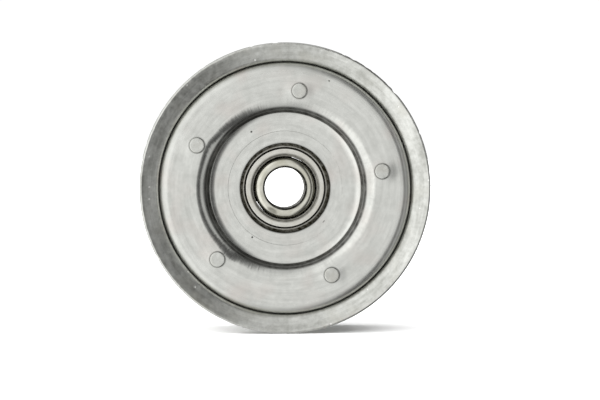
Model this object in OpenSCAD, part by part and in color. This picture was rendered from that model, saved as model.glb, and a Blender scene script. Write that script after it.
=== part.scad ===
// Pressed-steel flanged track roller on a shielded deep-groove ball bearing.
// Millimetres, +Z up. The wheel's axis is +Y, the outward face looks along -Y,
// and the origin is the centre of the axle bore, at the middle of its length.

/* [Rim] */
// Outer diameter over the flanges
flange_d = 85; // [84:0.5:90]
// Diameter of the tread between the flanges
tread_d = 77; // [75:0.5:78]
// Width of the rim over both flange edges
rim_w = 22; // [21.4:0.1:24]
// Thickness of the rim's sheet
rim_t = 1.5; // [1.2:0.1:1.6]
// Angle through which each flange is flared from the tread
flare = 67; // [55:1:75]
// Radius of the flare on the axle's side
flare_r = 1.85; // [1.7:0.05:2.2]

/* [Webs] */
// Thickness of the web discs' sheet
web_t = 1.5; // [1.2:0.1:1.6]
// Width over the faces of the two web discs
web_w = 19.6; // [19.2:0.1:20.4]
// Radius of the drawn shoulder at the edge of a web disc
shoulder_r = 2.7; // [2:0.1:3]
// Length of a web disc's drawn wall that stays clear of the middle plane
wall_gap = 1; // [0.2:0.1:3]
// Diameter of the flat centre plate inside the dish
plate_d = 40.6; // [40.2:0.1:41]
// Depth of the dish below the web
dish_depth = 3.3; // [3.1:0.05:3.5]
// Radius of the curve at the foot of the dish's wall
dish_foot_r = 4.6; // [3:0.1:5]
// Slope of the dish's foot
foot_slope = 24; // [18:1:28]
// Slope of the steep band in the dish's wall
wall_slope = 59; // [50:1:62]
// Height of the steep band
wall_rise = 1; // [0.6:0.1:1.1]
// Radius of the curve from the dish's wall into the web
dish_top_r = 4.3; // [3:0.1:4.4]
// Diameter of the hole in the centre plate
plate_hole_d = 26.4; // [26:0.1:26.8]
// Diameter of the seat mark pressed into the centre plate
seat_d = 33.7; // [32.4:0.1:35]
// Depth of the seat mark
seat_depth = 0.08; // [0.04:0.01:0.2]

/* [Stay rivets] */
// Number of stay rivets
rivet_n = 5; // [3:1:8]
// Diameter of the circle through the stay rivets
rivet_pcd = 57.4; // [57:0.1:60]
// Turn of the first stay rivet from +X towards +Z
rivet_turn = 10; // [0:1:71]
// Diameter of a rivet's head
rivet_head_d = 4.5; // [4.2:0.1:5]
// Height of a rivet's head
rivet_head_h = 0.8; // [0.5:0.1:1.2]
// Diameter of a rivet's shank in the sheet
rivet_shank_d = 3.5; // [3:0.1:3.8]
// Diameter of a rivet's spacer body between the webs
rivet_body_d = 5; // [4.4:0.1:5.2]

/* [Bearing] */
// Bore for the axle
bore_d = 12; // [11.8:0.1:12.2]
// Outside diameter of the bearing
bearing_d = 32; // [32:0.5:33]
// Width of the bearing
bearing_w = 10; // [10:0.1:10.4]
// Diameter of the inner ring's shoulder
inner_land_d = 18.4; // [18:0.1:18.8]
// Radius of the nose at each end of the inner ring
nose_r = 1.9; // [0.8:0.1:2]
// Diameter of the outer ring's land
outer_land_d = 25.8; // [25.6:0.1:26]
// Diameter of the circle through the balls' centres
ball_pcd = 22; // [21.9:0.05:22.1]
// Diameter of a ball
ball_d = 5.953; // [5.8:0.01:6]
// Diameter of the bearing carrier between the centre plates
carrier_d = 40; // [38:0.5:40]

/* [Hidden] */
$fn = 96;
steps = 8;
ball_n = 7;
cup_r = tread_d / 2 - rim_t;
web_h = web_w / 2;
plate_h = web_h - dish_depth;
plate_r = plate_d / 2;
bearing_h = bearing_w / 2;
foot_rise = 0.44;
ball_r = ball_d / 2;
pitch_r = ball_pcd / 2;
groove_r = ball_r + 0.05;
pocket_r = ball_r + 0.07;
cage_t = 0.42;
steel = [0.74, 0.73, 0.70];
bright = [0.82, 0.81, 0.78];
olive = [0.66, 0.64, 0.57];

// Points along an arc, from angle a0 to angle a1
function arc(x, y, r, a0, a1) =
    [for (i = [0:steps]) let (a = a0 + (a1 - a0) * i / steps) [x + r * cos(a), y + r * sin(a)]];

// Rounds the corner p of a path that comes from a and goes on to b
function rounded(a, p, b) = p[2] == 0 ? [[p[0], p[1]]] :
    let (u = unit([a[0] - p[0], a[1] - p[1]]), v = unit([b[0] - p[0], b[1] - p[1]]),
         half = acos(u * v) / 2, c = [p[0], p[1]] + unit(u + v) * p[2] / sin(half),
         s = [p[0], p[1]] + u * p[2] / tan(half) - c, e = [p[0], p[1]] + v * p[2] / tan(half) - c,
         a0 = atan2(s[1], s[0]), turn = atan2(s[0] * e[1] - s[1] * e[0], s * e))
    arc(c[0], c[1], p[2], a0, a0 + turn);
function unit(v) = v / norm(v);

// A closed path of [radius, height, fillet] corners, with every corner rounded
function path(p) = [for (i = [0:len(p) - 1]) each rounded(p[(i + len(p) - 1) % len(p)], p[i], p[(i + 1) % len(p)])];

// The corner on the back of a sheet of thickness t, behind corner p between a and b
function behind(a, p, b, t, r) =
    let (u = unit([p[0] - a[0], p[1] - a[1]]), v = unit([b[0] - p[0], b[1] - p[1]]),
         m = [u[1], -u[0]], n = [v[1], -v[0]], q = [p[0], p[1]] + (m + n) * t / (1 + m * n))
    [q[0], q[1], r];

// The same points on the other side of the middle plane, in reverse order
function mirrored(p) = [for (i = [len(p) - 1:-1:0]) [p[i][0], -p[i][1]]];

// Turns a radius-height profile about the wheel's axis
module turned() rotate([-90, 0, 0]) rotate_extrude() children();

// Puts a child at angle a on a circle of radius r about the wheel's axis
module around(r, a) rotate([0, -a, 0]) translate([r, 0, 0]) children();

// One half of the rim's section, from the middle plane out to the flange's edge and back
nick = 0.2;
edge_r = flange_d / 2 - (rim_t - nick) * cos(flare);
cone_r = cup_r + flare_r * (1 - cos(flare));
cone_l = (edge_r - cone_r) / sin(flare);
bend_h = rim_w / 2 - flare_r * sin(flare) - cone_l * cos(flare);
rim_half = concat(
    arc(cup_r + flare_r, bend_h, flare_r, 180, 180 - flare),
    [[edge_r - nick * sin(flare), rim_w / 2 - nick * cos(flare)],
     [edge_r + nick * cos(flare), rim_w / 2 - nick * sin(flare)],
     [edge_r + (rim_t - nick) * cos(flare), rim_w / 2 - (rim_t - nick) * sin(flare)],
     [edge_r + rim_t * cos(flare) - nick * sin(flare), rim_w / 2 - rim_t * sin(flare) - nick * cos(flare)]],
    arc(cup_r + flare_r, bend_h, flare_r - rim_t, 180 - flare, 180));

module rim_band() color(steel) turned() polygon(concat(rim_half, mirrored(rim_half)));

// The section of one web disc: centre plate, dish wall, web, shoulder and drawn wall
foot = plate_r + dish_foot_r * tan(foot_slope / 2);
kink = [foot + foot_rise / tan(foot_slope), plate_h + foot_rise];
crest = kink + [wall_rise / tan(wall_slope), wall_rise];
top = crest[0] + web_h - crest[1];
face = [
    [plate_hole_d / 2, plate_h, 0], [foot, plate_h, dish_foot_r], [kink[0], kink[1], 0.25],
    [crest[0], crest[1], 0.5], [top, web_h, dish_top_r], [cup_r, web_h, shoulder_r], [cup_r, wall_gap, 0.2]];
web_section = path(concat(
    [[plate_hole_d / 2, plate_h - seat_depth, 0.2], [seat_d / 2 - seat_depth, plate_h - seat_depth, 0],
     [seat_d / 2, plate_h, 0]],
    [for (i = [1:6]) face[i]],
    [[cup_r - web_t, wall_gap, 0.2],
     behind(face[4], face[5], face[6], web_t, shoulder_r - web_t),
     behind(face[3], face[4], face[5], web_t, dish_top_r - web_t),
     behind(face[2], face[3], face[4], web_t, 0),
     behind(face[1], face[2], face[3], web_t, 1.5),
     behind(face[0], face[1], face[2], web_t, dish_foot_r),
     [plate_hole_d / 2, plate_h - web_t, 0.1]]));

module web_disc() difference() {
    turned() polygon(web_section);
    for (i = [0:rivet_n - 1]) around(rivet_pcd / 2, rivet_turn + i * 360 / rivet_n)
        rotate([-90, 0, 0]) cylinder(d = rivet_shank_d, h = 2 * web_h);
}

module front_web() color(bright) mirror([0, 1, 0]) web_disc();
module rear_web() color(bright) web_disc();

// Ring that holds the bearing between the two centre plates
module bearing_carrier() color(steel) turned() translate([bearing_d / 2, -bearing_h])
    square([(carrier_d - bearing_d) / 2, bearing_w]);

// A stay rivet: spacer body between the webs, a shank in each sheet and a flat head on each face
rivet_half = [
    [rivet_body_d / 2, 0], [rivet_body_d / 2, web_h - web_t], [rivet_shank_d / 2, web_h - web_t],
    [rivet_shank_d / 2, web_h], [rivet_head_d / 2, web_h], [rivet_head_d / 2, web_h + rivet_head_h - 0.3],
    [rivet_head_d / 2 - 0.1, web_h + rivet_head_h - 0.1], [rivet_head_d / 2 - 0.35, web_h + rivet_head_h],
    [0, web_h + rivet_head_h]];

module stay_rivet(i) color(bright) around(rivet_pcd / 2, rivet_turn + (i - 1) * 360 / rivet_n)
    turned() polygon(concat(rivet_half, mirrored(rivet_half)));

// Inner ring: ball groove outside, rounded ends
module bearing_inner_ring() color(olive) turned() difference() {
    union() {
        half = concat(arc(inner_land_d / 2 - nose_r, bearing_h - nose_r, nose_r, 0, 90),
                      [[bore_d / 2 + 0.35, bearing_h], [bore_d / 2, bearing_h - 0.35]]);
        polygon(concat(half, mirrored(half)));
    }
    translate([pitch_r, 0]) circle(r = groove_r);
}

// Outer ring: ball groove inside, a seat for a shield at each end
module bearing_outer_ring() color(steel) turned() difference() {
    half = [[outer_land_d / 2, 0], [outer_land_d / 2, 3.25], [13.55, 3.25], [13.55, 3.7], [13.3, 3.95],
            [13.3, bearing_h - 0.1], [13.4, bearing_h], [bearing_d / 2 - 0.5, bearing_h],
            [bearing_d / 2, bearing_h - 0.5]];
    polygon(concat(half, mirrored(half)));
    translate([pitch_r, 0]) circle(r = groove_r);
}

// Shield: thin pressed ring, turned in at the inner ring and seated in the outer ring
shield_section = path([
    [9.34, 3.9, 0.06], [9.34, 4.2, 0.08], [9.74, 4.2, 0.08], [9.74, 4.7, 0.22], [11.6, 4.7, 0.2],
    [12, 3.62, 0.2], [13.5, 3.62, 0.05], [13.5, 3.3, 0.05], [11.75, 3.3, 0.15], [11.42, 4.38, 0.15],
    [10.04, 4.38, 0.1], [10.04, 3.9, 0.06]]);

module shield() turned() polygon(shield_section);
module front_shield() color(bright) mirror([0, 1, 0]) shield();
module rear_shield() color(bright) shield();

// One half of the ribbon cage: flat lands between the balls and a rounded pocket over each ball
module cage_half() difference() {
    intersection() {
        turned() translate([pitch_r - 0.6, 0]) square([1.2, ball_d]);
        union() {
            turned() translate([pitch_r - 0.8, -0.5]) square([1.6, cage_t + 0.5]);
            for (i = [1:ball_n]) pocket(i, pocket_r + cage_t, 3);
        }
    }
    for (i = [1:ball_n]) {
        pocket(i, pocket_r, 4);
        around(pitch_r, ball_turn(i + 0.5)) rotate([-90, 0, 0]) cylinder(d = 0.6, h = 2);
    }
}

// A round bar across the ribbon, centred on a ball
module pocket(i, r, l) around(pitch_r, ball_turn(i)) rotate([0, 90, 0]) cylinder(r = r, h = l, center = true);

function ball_turn(i) = 90 + (i - 1) * 360 / ball_n;

module cage_rear() color(steel) cage_half();
module cage_front() color(steel) mirror([0, 1, 0]) cage_half();

// Seven small rivets that close the cage, one between each pair of balls
module cage_rivets() color(bright) for (i = [1:ball_n]) around(pitch_r, ball_turn(i + 0.5))
    rotate([-90, 0, 0]) {
        translate([0, 0, -cage_t]) cylinder(d = 0.6, h = 2 * cage_t);
        for (s = [-1, 1]) translate([0, 0, s * (cage_t + 0.15)]) cylinder(d = 1, h = 0.3, center = true);
    }

module ball(i) color(bright) around(pitch_r, ball_turn(i)) sphere(r = ball_r);

rim_band();
front_web();
rear_web();
bearing_carrier();
stay_rivet(1);  // stay_rivet_1
stay_rivet(2);  // stay_rivet_2
stay_rivet(3);  // stay_rivet_3
stay_rivet(4);  // stay_rivet_4
stay_rivet(5);  // stay_rivet_5
bearing_outer_ring();
bearing_inner_ring();
front_shield();
rear_shield();
cage_front();
cage_rear();
cage_rivets();
ball(1);  // ball_1
ball(2);  // ball_2
ball(3);  // ball_3
ball(4);  // ball_4
ball(5);  // ball_5
ball(6);  // ball_6
ball(7);  // ball_7
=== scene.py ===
# Pressed-steel flanged track roller on a pale studio floor.
# Lengths are in millimetres until a finished mesh is scaled to metres. The axle runs along Y.
import math

import bmesh
import bpy
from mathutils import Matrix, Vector, noise


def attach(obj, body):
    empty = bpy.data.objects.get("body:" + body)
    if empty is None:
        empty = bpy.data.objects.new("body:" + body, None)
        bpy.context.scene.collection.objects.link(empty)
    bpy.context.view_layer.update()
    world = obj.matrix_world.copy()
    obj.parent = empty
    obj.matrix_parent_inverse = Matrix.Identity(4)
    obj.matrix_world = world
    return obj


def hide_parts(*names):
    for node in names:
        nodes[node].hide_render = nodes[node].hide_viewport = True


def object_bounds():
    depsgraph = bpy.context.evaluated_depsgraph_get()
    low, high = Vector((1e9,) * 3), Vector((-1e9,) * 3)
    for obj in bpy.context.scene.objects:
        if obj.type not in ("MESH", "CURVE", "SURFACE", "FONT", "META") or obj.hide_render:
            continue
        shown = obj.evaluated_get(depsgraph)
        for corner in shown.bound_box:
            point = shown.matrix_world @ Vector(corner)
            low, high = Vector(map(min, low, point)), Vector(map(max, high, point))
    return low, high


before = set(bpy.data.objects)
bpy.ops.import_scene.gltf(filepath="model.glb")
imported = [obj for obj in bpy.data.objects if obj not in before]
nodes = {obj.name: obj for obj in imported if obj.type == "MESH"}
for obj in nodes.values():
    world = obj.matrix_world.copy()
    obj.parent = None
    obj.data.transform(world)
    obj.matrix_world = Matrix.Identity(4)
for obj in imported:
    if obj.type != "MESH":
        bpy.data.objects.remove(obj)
cadLow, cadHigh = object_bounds()
scene = bpy.context.scene
mm = 0.001
print("frame loaded:", len(nodes), "parts")


# Shared helpers

def addNode(tree, kind, settings=None, links=None):
    node = tree.nodes.new(kind)
    for key, value in (settings or {}).items():
        if isinstance(key, int) or key in node.inputs:
            node.inputs[key].default_value = value
        else:
            setattr(node, key, value)
    for key, source in (links or {}).items():
        socket = source.outputs[0] if isinstance(source, bpy.types.Node) else source
        tree.links.new(socket, node.inputs[key])
    return node


def linear(hexColour):
    parts = [int(hexColour[i:i + 2], 16) / 255 for i in (0, 2, 4)]
    return tuple(c / 12.92 if c <= 0.04045 else ((c + 0.055) / 1.055) ** 2.4 for c in parts) + (1.0,)


# Camera: a few degrees to the left of the axle and above it

cameraLook = {
    "place": (-18.0, -438.0, 14.0),
    "aim": (4.2, -9.0, -3.4),
    "lens": 88.2,
    "sensor": 36.0,
}


def buildCamera(look):
    data = bpy.data.cameras.new("studioCamera")
    data.lens = look["lens"]
    data.sensor_width = look["sensor"]
    camera = bpy.data.objects.new("studioCamera", data)
    scene.collection.objects.link(camera)
    place, aim = Vector(look["place"]) * mm, Vector(look["aim"]) * mm
    camera.location = place
    camera.rotation_euler = (aim - place).to_track_quat("-Z", "Y").to_euler()
    data.clip_start, data.clip_end = 0.01, 50  # metres
    scene.camera = camera


buildCamera(cameraLook)
print("camera placed")


# Turned sections: a corner is its radius, its place along the axle, and its fillet

def roundCorner(bm, vert, radius, segments):
    ends = [edge.other_vert(vert).co for edge in vert.link_edges]
    first, second = ends[0] - vert.co, ends[1] - vert.co
    offset = radius * math.tan((math.pi - first.angle(second)) / 2)
    bmesh.ops.bevel(bm, geom=[vert], offset=offset, offset_type="OFFSET", affect="VERTICES",
                    segments=segments, profile=0.5, material=-1)


def turn(corners, steps, pitch):
    bm = bmesh.new()
    verts = [bm.verts.new((radius, along, 0)) for radius, along, _ in corners]
    bm.faces.new(verts)
    for vert, (_, _, fillet) in zip(verts, corners):
        if fillet:
            roundCorner(bm, vert, fillet, max(4, min(14, int(fillet * 5))))  # 5 segments to the millimetre
    bmesh.ops.delete(bm, geom=bm.faces[:], context="FACES_ONLY")
    onAxis = [e for e in bm.edges if all(v.co.x < 1e-6 for v in e.verts)]
    bmesh.ops.delete(bm, geom=onAxis, context="EDGES")
    for edge in [e for e in bm.edges if e.calc_length() > 1.5 * pitch]:
        bmesh.ops.subdivide_edges(bm, edges=[edge], cuts=int(edge.calc_length() / pitch))
    bmesh.ops.spin(bm, geom=bm.verts[:] + bm.edges[:], cent=(0, 0, 0), axis=(0, 1, 0),
                   dvec=(0, 0, 0), angle=math.tau, steps=steps, use_merge=True, use_duplicate=False)
    bmesh.ops.remove_doubles(bm, verts=bm.verts[:], dist=1e-4)
    bmesh.ops.recalc_face_normals(bm, faces=bm.faces[:])
    return bm


creaseAngle = 38.0  # degrees: a sharper bend than this shows as an edge


def finishPiece(bm, name, body, node, material):
    bmesh.ops.scale(bm, vec=(mm, mm, mm), verts=bm.verts[:])
    mesh = bpy.data.meshes.new(name)
    bm.to_mesh(mesh)
    bm.free()
    mesh.shade_smooth()
    mesh.set_sharp_from_angle(angle=math.radians(creaseAngle))
    mesh.materials.append(material)
    piece = bpy.data.objects.new(name, mesh)
    scene.collection.objects.link(piece)
    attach(piece, body)
    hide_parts(node)


def flipped(corners):
    return [(radius, -along, fillet) for radius, along, fillet in reversed(corners)]


def bothSides(corners):
    return corners + flipped(corners)


# Materials: each is bare steel, and its look says what was done to it. Places on the wheel are read from
# Object coordinates, so every pattern turns with its piece.

wheelReach = 45.0  # past the rim: every list of levels by radius ends here
rivetReach = 8.0  # the same, from a rivet's axis
noiseLow, noiseHigh = 0.3, 0.7  # most of a noise's values lie between these


def setStops(node, span, stops):
    elements = node.color_ramp.elements
    elements[0].position, elements[1].position = stops[0][0] / span, stops[-1][0] / span
    elements[0].color, elements[1].color = [(level, level, level, 1) for level in (stops[0][1], stops[-1][1])]
    for place, level in stops[1:-1]:
        elements.new(place / span).color = (level, level, level, 1)


def levelAt(tree, distance, reach, stops):
    share = addNode(tree, "ShaderNodeMath", {"operation": "DIVIDE", 1: reach * mm}, {0: distance})
    level = addNode(tree, "ShaderNodeValToRGB", links={0: share})
    setStops(level, reach, stops)
    return level


def wheelPlaces(tree):
    place = addNode(tree, "ShaderNodeTexCoord").outputs["Object"]
    split = addNode(tree, "ShaderNodeSeparateXYZ", links={0: place})
    flat = addNode(tree, "ShaderNodeCombineXYZ", links={"X": split.outputs["X"], "Z": split.outputs["Z"]})
    radius = addNode(tree, "ShaderNodeVectorMath", {"operation": "LENGTH"}, {0: flat}).outputs["Value"]
    heading = addNode(tree, "ShaderNodeVectorMath", {"operation": "NORMALIZE"}, {0: flat})
    sweep = addNode(tree, "ShaderNodeMath", {"operation": "ADD"}, {0: radius, 1: split.outputs["Y"]})
    return {"place": place, "split": split, "radius": radius, "heading": heading, "sweep": sweep}


def ringNoise(tree, at, across, around, detail=3.0):
    step = addNode(tree, "ShaderNodeMath", {"operation": "MULTIPLY", 1: 1 / (across * mm)}, {0: at["sweep"]})
    lift = addNode(tree, "ShaderNodeCombineXYZ", links={"Y": step})
    wide = addNode(tree, "ShaderNodeVectorMath", {"operation": "SCALE", "Scale": around}, {0: at["heading"]})
    joined = addNode(tree, "ShaderNodeVectorMath", {"operation": "ADD"}, {0: lift, 1: wide})
    return addNode(tree, "ShaderNodeTexNoise", {"Scale": 1.0, "Detail": detail, "Roughness": 0.6},
                   {"Vector": joined})


def rivetDistance(tree, at, look):
    angle = addNode(tree, "ShaderNodeMath", {"operation": "ARCTAN2"},
                    {0: at["split"].outputs["Z"], 1: at["split"].outputs["X"]})
    turned = addNode(tree, "ShaderNodeMath", {"operation": "SUBTRACT", 1: math.radians(look["first"])},
                     {0: angle})
    half = math.pi / look["count"]
    folded = addNode(tree, "ShaderNodeMath", {"operation": "WRAP", 1: half, 2: -half}, {0: turned})
    cosine = addNode(tree, "ShaderNodeMath", {"operation": "COSINE"}, {0: folded})
    sine = addNode(tree, "ShaderNodeMath", {"operation": "SINE"}, {0: folded})
    out = addNode(tree, "ShaderNodeMath", {"operation": "MULTIPLY_ADD", 2: -look["circle"] * mm},
                  {0: cosine, 1: at["radius"]})
    side = addNode(tree, "ShaderNodeMath", {"operation": "MULTIPLY"}, {0: sine, 1: at["radius"]})
    joined = addNode(tree, "ShaderNodeCombineXYZ", links={"X": out, "Y": side})
    return addNode(tree, "ShaderNodeVectorMath", {"operation": "LENGTH"}, {0: joined}).outputs["Value"]


def bareColour(tree, look, at, lines, mottle):
    # broad bands, eight lines wide, and mottling; finer lines; then patches of another tint
    broad = ringNoise(tree, at, look["linePitch"] * 8, look["lineSpan"] * 1.3, 2.0)
    tone = addNode(tree, "ShaderNodeMath", {"operation": "ADD"}, {0: broad, 1: mottle})
    fine = addNode(tree, "ShaderNodeMath", {"operation": "MULTIPLY_ADD", 1: look["lineTone"]},
                   {0: lines, 2: tone})
    middle = 1 + look["lineTone"] / 2
    shade = addNode(tree, "ShaderNodeMapRange", {"From Min": middle - 0.3, "From Max": middle + 0.3},
                    {"Value": fine})
    steelTone = addNode(tree, "ShaderNodeMix", {"data_type": "RGBA", 6: linear(look["dark"]),
                                                7: linear(look["light"])}, {0: shade})
    patch = addNode(tree, "ShaderNodeTexNoise", {"Scale": 1 / (look["tintSize"] * mm), "Detail": 1.5},
                    {"Vector": at["place"]})
    share = addNode(tree, "ShaderNodeMapRange", {"From Min": 0.5, "From Max": 0.72,
                                                 "To Max": look["tintAmount"]}, {"Value": patch})
    return addNode(tree, "ShaderNodeMix", {"data_type": "RGBA", 7: linear(look["tint"])},
                   {0: share, 6: steelTone.outputs[2]}).outputs[2]


def paintedShadeShare(tree, look, at, mottle):
    # painted shade: dark bands in the recesses and creases by radius, and a dark ring round each rivet's edge
    paintedShade = levelAt(tree, at["radius"], wheelReach, look["paintedShade"])
    if look.get("rivetPaintedShade"):
        around = levelAt(tree, rivetDistance(tree, at, rivetRing), rivetReach, look["rivetPaintedShade"])
        paintedShade = addNode(tree, "ShaderNodeMath", {"operation": "MAXIMUM"}, {0: paintedShade, 1: around})
    uneven = addNode(tree, "ShaderNodeMapRange", {"From Min": noiseLow, "From Max": noiseHigh,
                                                  "To Min": 0.75, "To Max": 1.15}, {"Value": mottle})
    return addNode(tree, "ShaderNodeMath", {"operation": "MULTIPLY", "use_clamp": True},
                   {0: paintedShade, 1: uneven})


def drawStreaks(tree, look, at, colour, height):
    # short grooves that run from the axle outwards, where the sheet was drawn over the die
    combed = ringNoise(tree, at, look["streakLength"], look["streakCount"], 0.5)
    zone = levelAt(tree, at["radius"], wheelReach, look["streaks"])
    groove = addNode(tree, "ShaderNodeMapRange", {"From Min": 0.4, "From Max": 0.66}, {"Value": combed})
    groove = addNode(tree, "ShaderNodeMath", {"operation": "MULTIPLY"}, {0: groove, 1: zone})
    share = addNode(tree, "ShaderNodeMath", {"operation": "MULTIPLY", 1: look["streakAmount"]}, {0: groove})
    colour = addNode(tree, "ShaderNodeMix", {"data_type": "RGBA", 7: linear(look["streakColour"])},
                     {0: share, 6: colour}).outputs[2]
    height = addNode(tree, "ShaderNodeMath", {"operation": "MULTIPLY_ADD", 1: -look["streakDepth"]},
                     {0: groove, 2: height})
    return colour, height


def drawPits(tree, look, at, colour, height):
    # a few of the cells hold a small round pit with a soft edge
    cells = addNode(tree, "ShaderNodeTexVoronoi", {"feature": "F1", "Scale": 1 / (look["pitSpacing"] * mm)},
                    {"Vector": at["place"]})
    size = look["pitSize"] / look["pitSpacing"]
    chance = addNode(tree, "ShaderNodeSeparateColor", links={0: cells.outputs["Color"]})
    chosen = addNode(tree, "ShaderNodeMath", {"operation": "GREATER_THAN", 1: look["pitRare"]}, {0: chance})
    pit = addNode(tree, "ShaderNodeMapRange", {"From Min": size * 0.4, "From Max": size * 0.6,
                                               "To Min": 1.0, "To Max": 0.0},
                  {"Value": cells.outputs["Distance"]})
    pit = addNode(tree, "ShaderNodeMath", {"operation": "MULTIPLY"}, {0: pit, 1: chosen})
    colour = addNode(tree, "ShaderNodeMix", {"data_type": "RGBA", 7: linear(look["pitColour"])},
                     {0: pit, 6: colour}).outputs[2]
    height = addNode(tree, "ShaderNodeMath", {"operation": "MULTIPLY_ADD", 1: -look["pitDepth"]},
                     {0: pit, 2: height})
    return colour, height


def drawMark(tree, look, at, mark, colour):
    # one oval stain: half is its half width along the ring and its half width outwards
    angle = math.radians(mark["heading"])
    centre = (mark["radius"] * math.cos(angle) * mm, 0, mark["radius"] * math.sin(angle) * mm)
    along, outwards = mark["half"]
    oval = addNode(tree, "ShaderNodeMapping", {"vector_type": "TEXTURE", "Location": centre,
                                               "Rotation": (0, math.pi / 2 - angle, 0),
                                               "Scale": (along * mm, 1, outwards * mm)},
                   {"Vector": at["place"]})
    away = addNode(tree, "ShaderNodeVectorMath", {"operation": "LENGTH"}, {0: oval}).outputs["Value"]
    share = addNode(tree, "ShaderNodeMapRange", {"From Min": 0.65, "From Max": 1.15,
                                                 "To Min": mark["amount"], "To Max": 0.0}, {"Value": away})
    return addNode(tree, "ShaderNodeMix", {"data_type": "RGBA", 7: linear(look["shadeAndStainColour"])},
                   {0: share, 6: colour}).outputs[2]


def roughLevel(tree, look, at, paintedShade, mottle):
    rough = addNode(tree, "ShaderNodeMapRange", {"From Min": noiseLow, "From Max": noiseHigh,
                                                 "To Min": look["roughness"] - look["roughSpread"],
                                                 "To Max": look["roughness"] + look["roughSpread"]},
                    {"Value": mottle})
    # roughness also rises where shade is painted into the colour
    rough = addNode(tree, "ShaderNodeMath", {"operation": "MULTIPLY_ADD", 1: look["paintedShadeRough"]},
                    {0: paintedShade, 2: rough})
    if look.get("scuffed"):
        zone = levelAt(tree, at["radius"], wheelReach, look["scuffed"])
        rough = addNode(tree, "ShaderNodeMath", {"operation": "ADD"}, {0: rough, 1: zone})
    return rough


def steel(name, look):
    material = bpy.data.materials.new(name)
    material.use_nodes = True
    tree = material.node_tree
    shader = tree.nodes["Principled BSDF"]
    at = wheelPlaces(tree)
    lines = ringNoise(tree, at, look["linePitch"], look["lineSpan"])
    mottle = addNode(tree, "ShaderNodeTexNoise", {"Scale": 1 / (look["mottle"] * mm), "Detail": 4.0,
                                                  "Roughness": 0.62}, {"Vector": at["place"]})
    grain = addNode(tree, "ShaderNodeTexNoise", {"Scale": 1 / (look["grain"] * mm), "Detail": 2.0},
                    {"Vector": at["place"]})
    paintedShade = paintedShadeShare(tree, look, at, mottle)
    colour = bareColour(tree, look, at, lines, mottle)
    # painted shade: the shade share pulls the base colour towards near-black; the same colour also serves the
    # stains drawn below
    colour = addNode(tree, "ShaderNodeMix", {"data_type": "RGBA", 7: linear(look["shadeAndStainColour"])},
                     {0: paintedShade, 6: colour}).outputs[2]
    height = addNode(tree, "ShaderNodeMath", {"operation": "MULTIPLY", 1: look["lineDepth"]}, {0: lines})
    height = addNode(tree, "ShaderNodeMath", {"operation": "MULTIPLY_ADD", 1: look["grainDepth"]},
                     {0: grain, 2: height})
    if look.get("streaks"):
        colour, height = drawStreaks(tree, look, at, colour, height)
    if look.get("pitSize"):
        colour, height = drawPits(tree, look, at, colour, height)
    for mark in look.get("marks", []):
        colour = drawMark(tree, look, at, mark, colour)
    rough = roughLevel(tree, look, at, paintedShade, mottle)
    bump = addNode(tree, "ShaderNodeBump", {"Strength": 1.0, "Distance": mm}, {"Height": height})
    tree.links.new(colour, shader.inputs["Base Color"])
    tree.links.new(rough.outputs[0], shader.inputs["Roughness"])
    tree.links.new(bump.outputs[0], shader.inputs["Normal"])
    shader.inputs["Metallic"].default_value = 1.0
    return material


rivetRing = {"circle": 28.7, "first": 10.0, "count": 5}  # for the painted shade round the rivets, and for the rivets

# The looks. Colours are sRGB hex. linePitch is the distance between turned lines, and lineSpan says how often
# a line breaks on its way round. Real brushing and grain are near 0.02 mm, too fine to show, so linePitch and
# grain are drawn ten times as coarse or more. The painted shade, streaks and scuffed list levels by radius;
# the painted shade is dark bands that stand in for shade in recesses, creases and along the rim's edge.

# Drawn low-carbon sheet, bare: fine turned brushing, draw marks on the bends, a few pits, stains, and painted
# shade in the folds, at the centre hole and in the crevice at the rim
webLook = {
    "light": "DDDED9", "dark": "C6C7C2", "tint": "CDC3BD", "tintAmount": 0.4, "tintSize": 9.0,
    "roughness": 0.18, "roughSpread": 0.03,
    "linePitch": 0.18, "lineSpan": 1.6, "lineTone": 0.25, "lineDepth": 0.0012,
    "mottle": 2.2, "grain": 0.22, "grainDepth": 0.0012,
    "shadeAndStainColour": "2E2D29", "paintedShadeRough": 0.3,
    # painted shade: near-black at the centre hole, dark lines in the creases of the dish wall, darker past
    # the shoulder into the crevice
    "paintedShade": [(0, 1.0), (13.22, 1.0), (13.5, 0.15), (13.9, 0.0), (22.1, 0.0), (22.28, 0.85), (22.85, 0.85),
              (23.0, 0.6), (23.15, 0.65), (23.3, 0.9), (23.7, 0.75), (24.0, 0.1), (24.3, 0.0), (36.94, 0.0),
              (36.99, 0.6), (45, 0.6)],
    # painted shade: a dark ring on the sheet just round each rivet head
    "rivetPaintedShade": [(0, 0.0), (2.18, 0.0), (2.28, 0.7), (2.4, 0.35), (2.65, 0.0), (8, 0.0)],
    "scuffed": [(0, 0.0), (33.4, 0.0), (34.8, 0.16), (45, 0.16)],
    "streaks": [(0, 0.0), (23.6, 0.0), (24.6, 1.0), (25.8, 1.0), (26.8, 0.0), (45, 0.0)],
    "streakLength": 6.0, "streakCount": 36.0, "streakColour": "77756F", "streakAmount": 0.07,
    "streakDepth": 0.009,
    "pitSize": 0.36, "pitSpacing": 4.5, "pitDepth": 0.03, "pitColour": "55524C", "pitRare": 0.9,
    "marks": [
        {"radius": 19.3, "heading": 121, "half": (0.34, 0.3), "amount": 0.9},
        {"radius": 17.4, "heading": 236, "half": (0.3, 0.32), "amount": 0.9},
        {"radius": 33.8, "heading": 68, "half": (0.3, 0.24), "amount": 0.8},
        {"radius": 15.0, "heading": -41, "half": (0.5, 0.22), "amount": 0.5},
    ],
}
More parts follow.
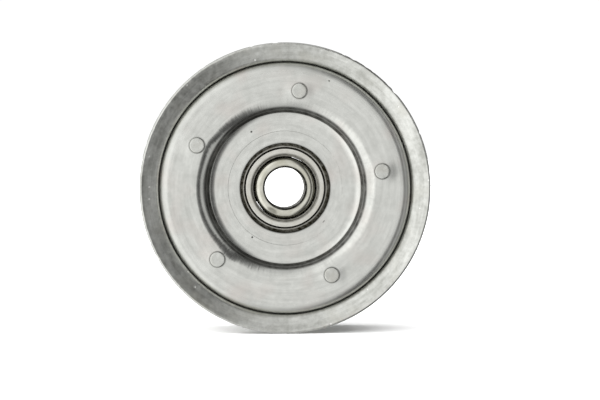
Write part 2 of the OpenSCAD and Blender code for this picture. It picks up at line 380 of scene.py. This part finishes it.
# Rolled steel band, bare: skin marks run round the flange, bright nicks, painted shade where the webs enter
# and a dark line painted along the outer edge
rimLook = {
    "light": "E3E4DF", "dark": "B0B1AB", "tint": "C2C0B4", "tintAmount": 0.3, "tintSize": 7.0,
    "roughness": 0.36, "roughSpread": 0.05,
    "linePitch": 0.22, "lineSpan": 2.4, "lineTone": 0.4, "lineDepth": 0.003,
    "mottle": 1.5, "grain": 0.18, "grainDepth": 0.002,
    "shadeAndStainColour": "2A2926", "paintedShadeRough": 0.3,
    # painted shade: dark inside the crevice where the webs enter, and a dark line along the outer edge
    "paintedShade": [(0, 0.9), (37.02, 0.9), (37.1, 0.45), (37.25, 0.0), (42.3, 0.0), (42.48, 0.6), (45, 0.6)],
    "pitSize": 0.6, "pitSpacing": 2.2, "pitDepth": 0.05, "pitColour": "F4F4F0", "pitRare": 0.86,
}
# Cold-headed rivet steel: plain satin, slightly duller than the sheet, painted shade on the rounded edge and
# side of the head
rivetLook = {
    "light": "D5D6D1", "dark": "BFC0BA", "tint": "BDB7AB", "tintAmount": 0.25, "tintSize": 3.0,
    "roughness": 0.25, "roughSpread": 0.04,
    "linePitch": 0.5, "lineSpan": 9.0, "lineTone": 0.2, "lineDepth": 0.001,
    "mottle": 0.9, "grain": 0.16, "grainDepth": 0.002,
    "shadeAndStainColour": "2E2D29", "paintedShadeRough": 0.3,
    "paintedShade": [(0, 0.0), (45, 0.0)],
    # painted shade: darker from the head's rounded edge down its side
    "rivetPaintedShade": [(0, 0.0), (2.1, 0.0), (2.22, 0.35), (2.3, 0.5), (8, 0.5)],
}
# Bearing steel, hardened and ground, with a thin film of old oil that warms its colour; painted shade at the
# bore's edge and from the face's rounded outer edge outwards
ringLook = {
    "light": "DBDACF", "dark": "BFBDB0", "tint": "A19D84", "tintAmount": 0.4, "tintSize": 4.0,
    "roughness": 0.15, "roughSpread": 0.02,
    "linePitch": 0.12, "lineSpan": 1.6, "lineTone": 0.3, "lineDepth": 0.0006,
    "mottle": 1.8, "grain": 0.2, "grainDepth": 0.0004,
    "shadeAndStainColour": "1A1914", "paintedShadeRough": 0.7,
    # painted shade: dark inside the bore and at its edge, and from the rounded outer edge of the face
    # outwards
    "paintedShade": [(0, 0.7), (6.005, 0.7), (6.02, 1.0), (6.46, 1.0), (6.62, 0.1), (6.8, 0.0), (9.08, 0.0),
              (9.19, 0.7), (9.3, 0.95), (45, 0.95)],
    "marks": [{"radius": 7.7, "heading": 240, "half": (1.8, 0.85), "amount": 0.5}],
}
# Bright cold-rolled strip, pressed into a shield: painted shade on the lip and step, along the land's outer
# edge and over the outer groove
shieldLook = {
    "light": "DDDCD5", "dark": "C6C4BB", "tint": "CBC3B2", "tintAmount": 0.3, "tintSize": 3.0,
    "roughness": 0.19, "roughSpread": 0.03,
    "linePitch": 0.14, "lineSpan": 1.8, "lineTone": 0.3, "lineDepth": 0.001,
    "mottle": 1.2, "grain": 0.16, "grainDepth": 0.0008,
    "shadeAndStainColour": "2B2819", "paintedShadeRough": 0.3,
    # painted shade: dark on the lip and step, a light band at the land's outer edge, near-black over the
    # outer groove
    "paintedShade": [(0, 1.0), (9.36, 1.0), (9.46, 0.6), (9.8, 0.75), (10.1, 0.65), (10.35, 0.08), (10.6, 0.0),
              (11.66, 0.0), (11.9, 0.3), (12.05, 0.4), (12.3, 0.45), (12.5, 0.97), (45, 1.0)],
}
# Strip steel of the cage, dull from pressing
cageLook = dict(shieldLook, light="A9A59C", dark="8B877E", roughness=0.42, paintedShade=[(0, 0.0), (45, 0.0)])
# Polished chrome steel balls
ballLook = dict(ringLook, light="D8D8D6", dark="CCCCC9", roughness=0.10, roughSpread=0.01, tintAmount=0.1,
                paintedShade=[(0, 0.0), (45, 0.0)], marks=[])

webSteel = steel("brushedDrawnSheetSteel", webLook)
rimSteel = steel("rolledBandSteel", rimLook)
rivetSteel = steel("coldHeadedRivetSteel", rivetLook)
ringSteel = steel("groundBearingSteel", ringLook)
shieldSteel = steel("brightShieldStrip", shieldLook)
cageSteel = steel("pressedCageStrip", cageLook)
ballSteel = steel("polishedBallSteel", ballLook)
print("steels mixed")


# Rim band: tread, two flared flanges, nicked edges

rimBand = {
    "outer": 42.58, "edgeFace": 41.99, "halfWidth": 11.0, "edgeDepth": 9.62,
    "bore": 37.0, "tread": 38.5, "flareInside": 8.881, "flareOutside": 7.888,
    "nickFrom": 41.0, "nickFade": 1.5,  # nicks and ripple start here, and are full this much further out
    "nickDepth": 0.6, "nickSize": 1.3, "nickRare": 0.34, "ripple": 0.03, "rippleSize": 9.0,
    "steps": 400, "pitch": 0.9,
}


def buildRim(look):
    side = [
        (look["bore"], look["flareInside"], 1.85), (look["edgeFace"], look["halfWidth"], 0.2),
        (look["outer"], look["edgeDepth"], 0.2), (look["tread"], look["flareOutside"], 0.35),
    ]
    bm = turn(bothSides(side), look["steps"], look["pitch"])
    for vert in bm.verts:
        spoke = Vector((vert.co.x, 0, vert.co.z))
        radius = spoke.length
        edge = max(0.0, (radius - look["nickFrom"]) / look["nickFade"])
        if edge:
            bite = noise.noise(vert.co / look["nickSize"]) - look["nickRare"]
            wave = noise.noise(vert.co / look["rippleSize"]) * look["ripple"]
            pull = edge * (max(0.0, bite) * look["nickDepth"] + max(0.0, -wave))
            vert.co -= spoke / radius * pull
    finishPiece(bm, "rimBand", "wheel", "rim_band", rimSteel)


buildRim(rimBand)
print("rim band turned")


# Web discs: centre plate, dish wall, web with a low mound at each rivet, shoulder, drawn wall

webDisc = {
    "face": 9.8, "sheet": 1.5, "plate": 6.5, "hole": 13.2, "seat": 16.85, "seatDepth": 0.08,
    "plateRadius": 20.3, "footFillet": 4.6, "footSlope": 24.0, "footRise": 0.44,
    "wallSlope": 59.0, "wallRise": 1.0, "topFillet": 4.3, "cup": 37.0, "shoulder": 2.7, "gap": 1.0,
    "mound": 0.38, "moundReach": 5.8, "waviness": 0.02, "waveSize": 7.0,
    "bandIn": 17.5, "bandOut": 36.2, "bandFade": 1.6, "bandDepth": 4.5,  # where mounds and waves may be
    "steps": 288, "pitch": 0.8,
}


def rivetPlaces(look):
    for index in range(look["count"]):
        angle = math.radians(look["first"] + index * 360 / look["count"])
        yield Vector((look["circle"] * math.cos(angle), 0, look["circle"] * math.sin(angle)))


def behind(before, corner, after, thickness, fillet):
    # the same corner on the sheet's other face
    arriving = (Vector(corner[:2]) - Vector(before[:2])).normalized()
    leaving = (Vector(after[:2]) - Vector(corner[:2])).normalized()
    first, second = Vector((arriving.y, -arriving.x)), Vector((leaving.y, -leaving.x))
    spot = Vector(corner[:2]) + (first + second) * thickness / (1 + first.dot(second))
    return (spot.x, spot.y, fillet)


def webCorners(look):
    face, plate, sheet = look["face"], look["plate"], look["sheet"]
    footSlope, wallSlope = math.radians(look["footSlope"]), math.radians(look["wallSlope"])
    foot = look["plateRadius"] + look["footFillet"] * math.tan(footSlope / 2)
    kink = foot + look["footRise"] / math.tan(footSlope)
    crest = kink + look["wallRise"] / math.tan(wallSlope)
    kinkDepth = plate + look["footRise"]
    crestDepth = kinkDepth + look["wallRise"]
    outline = [
        (look["hole"], plate, 0), (foot, plate, look["footFillet"]), (kink, kinkDepth, 0.25),
        (crest, crestDepth, 0.5), (crest + face - crestDepth, face, look["topFillet"]),
        (look["cup"], face, look["shoulder"]), (look["cup"], look["gap"], 0.2),
    ]
    seat = [
        (look["hole"], plate - look["seatDepth"], 0.2),
        (look["seat"] - look["seatDepth"], plate - look["seatDepth"], 0), (look["seat"], plate, 0),
    ]
    backFillets = [look["footFillet"], 1.5, 0, look["topFillet"] - sheet, look["shoulder"] - sheet]
    back = [behind(*outline[i - 1:i + 2], sheet, backFillets[i - 1]) for i in range(5, 0, -1)]
    cupEdge = (look["cup"] - sheet, look["gap"], 0.2)
    holeEdge = (look["hole"], plate - sheet, 0.1)
    return seat + outline[1:] + [cupEdge] + back + [holeEdge]


def buildWeb(look, name, node, outward):
    corners = webCorners(look)
    bm = turn(corners if outward > 0 else flipped(corners), look["steps"], look["pitch"])
    places = list(rivetPlaces(rivetRing))
    for vert in bm.verts:
        spoke = Vector((vert.co.x, 0, vert.co.z))
        if not look["bandIn"] < spoke.length < look["bandOut"] or abs(vert.co.y) < look["bandDepth"]:
            continue
        near = min((spoke - place).length for place in places)
        swell = max(0.0, 1 - near / look["moundReach"])
        inBand = min(1.0, max(0.0, (look["bandOut"] - spoke.length) / look["bandFade"]))
        lift = look["mound"] * swell * swell * (3 - 2 * swell) * inBand
        lift += look["waviness"] * noise.noise(vert.co / look["waveSize"]) * inBand
        vert.co.y += outward * lift
    finishPiece(bm, name, "wheel", node, webSteel)


buildWeb(webDisc, "frontWeb", "front_web", -1)
buildWeb(webDisc, "rearWeb", "rear_web", 1)
print("web discs pressed")


# Stay rivets: a body between the webs, a shank through each sheet, a flat head with a slightly uneven top

stayRivet = {
    "body": 2.5, "shank": 1.75, "head": 2.25, "sheetFace": 9.8, "sheet": 1.5, "headTop": 10.6,
    "uneven": 0.035, "unevenSize": 1.1, "unevenFrom": 10.3, "nextHead": 7.3,
    "steps": 72, "pitch": 0.5,
}


def buildRivet(look, index, place):
    sheetBack = look["sheetFace"] - look["sheet"]
    half = [
        (look["body"], sheetBack, 0.1), (look["shank"], sheetBack, 0), (look["shank"], look["sheetFace"], 0),
        (look["head"], look["sheetFace"], 0.08), (look["head"], look["headTop"], 0.32),
        (0, look["headTop"], 0),
    ]
    bm = turn(bothSides(half), look["steps"], look["pitch"])
    shift = Vector((index * look["nextHead"], 0, 0))  # another stretch of the noise for each rivet
    for vert in bm.verts:
        if abs(vert.co.y) > look["unevenFrom"]:
            vert.co.y += look["uneven"] * noise.noise(vert.co / look["unevenSize"] + shift)
    bmesh.ops.translate(bm, vec=place, verts=bm.verts[:])
    finishPiece(bm, "stayRivet%d" % index, "wheel", "stay_rivet_%d" % index, rivetSteel)


for index, place in enumerate(rivetPlaces(rivetRing), 1):
    buildRivet(stayRivet, index, place)
print("stay rivets headed")


# Bearing rings and the carrier round them; snap values are the groove that holds a shield's edge

bearing = {
    "bore": 6.0, "innerLand": 9.2, "outerLand": 12.9, "outside": 16.0, "half": 5.0,
    "ballCircle": 11.0, "groove": 3.03, "carrier": 20.0, "chamfer": 0.35, "nose": 1.9,
    "snapFloor": 3.25, "snapRadius": 13.55, "snapTop": 3.7, "mouth": 13.3, "mouthFrom": 3.95,
    "ringSteps": 200, "innerPitch": 0.3, "outerPitch": 0.5, "carrierSteps": 160, "carrierPitch": 1.0,
    "grooveSteps": 8,
}


def grooveCorners(look, land, towardsBore):
    reach = abs(look["ballCircle"] - land)
    width = math.sqrt(look["groove"] ** 2 - reach ** 2)
    start = math.atan2(width, reach)
    sign = -1 if towardsBore else 1
    points = []
    for step in range(look["grooveSteps"] + 1):
        angle = start * (1 - 2 * step / look["grooveSteps"])
        radius = look["ballCircle"] + sign * look["groove"] * math.cos(angle)
        points.append((radius, look["groove"] * math.sin(angle), 0))
    return points


def buildInnerRing(look):
    bore, land, half = look["bore"], look["innerLand"], look["half"]
    corners = [(bore, -half, look["chamfer"]), (bore, half, look["chamfer"]), (land, half, look["nose"])]
    corners += grooveCorners(look, land, True)
    corners += [(land, -half, look["nose"])]
    bm = turn(corners, look["ringSteps"], look["innerPitch"])
    finishPiece(bm, "innerRing", "inner_ring", "bearing_inner_ring", ringSteel)


def buildOuterRing(look):
    half = look["half"]
    seat = [
        (look["outerLand"], look["snapFloor"], 0.05), (look["snapRadius"], look["snapFloor"], 0),
        (look["snapRadius"], look["snapTop"], 0), (look["mouth"], look["mouthFrom"], 0),
        (look["mouth"], half, 0.12), (look["outside"], half, 0.5),
    ]
    corners = grooveCorners(look, look["outerLand"], False)[::-1] + bothSides(seat)
    bm = turn(corners, look["ringSteps"], look["outerPitch"])
    finishPiece(bm, "outerRing", "wheel", "bearing_outer_ring", ringSteel)


def buildCarrier(look):
    sleeve = [(look["outside"], look["half"], 0.2), (look["carrier"], look["half"], 0.3)]
    bm = turn(bothSides(sleeve), look["carrierSteps"], look["carrierPitch"])
    finishPiece(bm, "bearingCarrier", "wheel", "bearing_carrier", webSteel)


buildInnerRing(bearing)
buildOuterRing(bearing)
buildCarrier(bearing)
print("bearing rings ground")


# Shields: a thin ring pressed from strip, with a lip towards the inner ring and a groove round its land

shieldPress = {
    "lip": 9.34, "lipBack": 3.9, "lipFace": 4.2, "step": 9.74, "stepBack": 10.04,
    "land": 4.7, "landEdge": 11.6, "landBack": 4.38, "landBackEdge": 11.42,
    "groove": 3.62, "grooveEdge": 12.0, "grooveBack": 3.3, "grooveBackEdge": 11.75, "outside": 13.5,
    "steps": 200, "pitch": 0.3,
}


def shieldCorners(look):
    return [
        (look["lip"], look["lipBack"], 0.06), (look["lip"], look["lipFace"], 0.08),
        (look["step"], look["lipFace"], 0.08), (look["step"], look["land"], 0.22),
        (look["landEdge"], look["land"], 0.2), (look["grooveEdge"], look["groove"], 0.2),
        (look["outside"], look["groove"], 0.05), (look["outside"], look["grooveBack"], 0.05),
        (look["grooveBackEdge"], look["grooveBack"], 0.15), (look["landBackEdge"], look["landBack"], 0.15),
        (look["stepBack"], look["landBack"], 0.1), (look["stepBack"], look["lipBack"], 0.06),
    ]


def buildShield(look, name, node, outward):
    corners = shieldCorners(look)
    bm = turn(corners if outward > 0 else flipped(corners), look["steps"], look["pitch"])
    finishPiece(bm, name, "wheel", node, shieldSteel)


buildShield(shieldPress, "frontShield", "front_shield", -1)
buildShield(shieldPress, "rearShield", "rear_shield", 1)
print("shields pressed")


# The balls and the cage keep their CAD shape

for name in nodes:
    if name.startswith("ball_") or name.startswith("cage_"):
        nodes[name].data.materials.clear()
        nodes[name].data.materials.append(ballSteel if name.startswith("ball_") else cageSteel)
print("balls and cage finished")


# Studio: pale floor, soft light from the left, white all round

studio = {
    "floorColour": "F6F6F6", "floorRoughness": 0.7,
    "floorBack": 4000.0, "floorFront": 170.0, "floorSide": 2500.0,
    "suns": {
        "keyLight": {"power": 1.6, "from": (-0.80, -0.10, 0.60), "width": 14.0},
        "topLight": {"power": 4.0, "from": (-0.10, -0.30, 0.95), "width": 90.0},
    },
}


def buildFloor(look):
    bm = bmesh.new()
    bmesh.ops.create_grid(bm, x_segments=2, y_segments=2, size=0.5)
    depth = look["floorBack"] + look["floorFront"]
    middle = (look["floorBack"] - look["floorFront"]) / 2
    bmesh.ops.scale(bm, vec=(look["floorSide"] * 2 * mm, depth * mm, 1), verts=bm.verts[:])
    bmesh.ops.translate(bm, vec=(0, middle * mm, cadLow.z), verts=bm.verts[:])
    mesh = bpy.data.meshes.new("studioFloor")
    bm.to_mesh(mesh)
    bm.free()
    floor = bpy.data.objects.new("studioFloor", mesh)
    scene.collection.objects.link(floor)
    # Matt white laminate: no gloss, only the soft shadow shows on it
    laminate = bpy.data.materials.new("mattWhiteLaminate")
    laminate.use_nodes = True
    shader = laminate.node_tree.nodes["Principled BSDF"]
    shader.inputs["Base Color"].default_value = linear(look["floorColour"])
    shader.inputs["Roughness"].default_value = look["floorRoughness"]
    mesh.materials.append(laminate)
    floor.visible_glossy = False  # the steel reflects the room, as over a floor kept out of its sight


def hangSuns(suns):
    for name, sun in suns.items():
        lamp = bpy.data.lights.new(name, "SUN")
        lamp.energy = sun["power"]
        lamp.angle = math.radians(sun["width"])
        lampObject = bpy.data.objects.new(name, lamp)
        scene.collection.objects.link(lampObject)
        lampObject.rotation_euler = (-Vector(sun["from"])).to_track_quat("-Z", "Y").to_euler()
        lampObject.visible_glossy = False  # the room's bright side already shows in the steel


# The room, from its left side (-1) over the front (0) to its right side (1): a wide white wall of light on
# the left, an even front, a dark corner right of the front and a paler one beyond it
room = {
    "strength": 1.4,
    "across": [(-1, 1.15), (-0.75, 1.25), (-0.4, 1.38), (-0.18, 1.08), (0.0, 0.93), (0.2, 0.97),
               (0.28, 0.5), (0.38, 0.22), (0.5, 0.12), (0.63, 0.1), (0.71, 0.6), (0.82, 0.62), (0.9, 0.3),
               (1, 0.12)],
    "aboveBelow": 0.55,  # share of the light that is lost straight up and straight down
    "fall": 4.0,  # how late that loss sets in
    "seen": 1.05,  # the white that the camera sees behind the floor
}


def buildRoom(look):
    world = bpy.data.worlds.new("studioRoom")
    scene.world = world
    world.use_nodes = True
    tree = world.node_tree
    tree.nodes.clear()
    heading = addNode(tree, "ShaderNodeTexCoord").outputs["Generated"]
    split = addNode(tree, "ShaderNodeSeparateXYZ", links={0: heading})
    along = addNode(tree, "ShaderNodeMath", {"operation": "MULTIPLY_ADD", 1: 0.5, 2: 0.5},
                    {0: split.outputs["X"]})
    wall = addNode(tree, "ShaderNodeValToRGB", links={0: along})
    wall.color_ramp.interpolation = "EASE"
    setStops(wall, 2, [(place + 1, level / look["strength"]) for place, level in look["across"]])
    steep = addNode(tree, "ShaderNodeMath", {"operation": "POWER", 1: look["fall"]}, {0: split.outputs["Z"]})
    fade = addNode(tree, "ShaderNodeMath", {"operation": "MULTIPLY_ADD",
                                            1: -look["aboveBelow"] * look["strength"],
                                            2: look["strength"]}, {0: steep})
    total = addNode(tree, "ShaderNodeMath", {"operation": "MULTIPLY"}, {0: wall, 1: fade})
    lit = addNode(tree, "ShaderNodeBackground", {"Color": (1, 1, 1, 1)}, {"Strength": total})
    seen = addNode(tree, "ShaderNodeBackground", {"Color": (1, 1, 1, 1), "Strength": look["seen"]})
    path = addNode(tree, "ShaderNodeLightPath")
    mix = addNode(tree, "ShaderNodeMixShader", links={0: path.outputs["Is Camera Ray"], 1: lit, 2: seen})
    addNode(tree, "ShaderNodeOutputWorld", links={"Surface": mix})


buildFloor(studio)
hangSuns(studio["suns"])
buildRoom(room)
scene.view_settings.view_transform = "Standard"
print("studio lit")
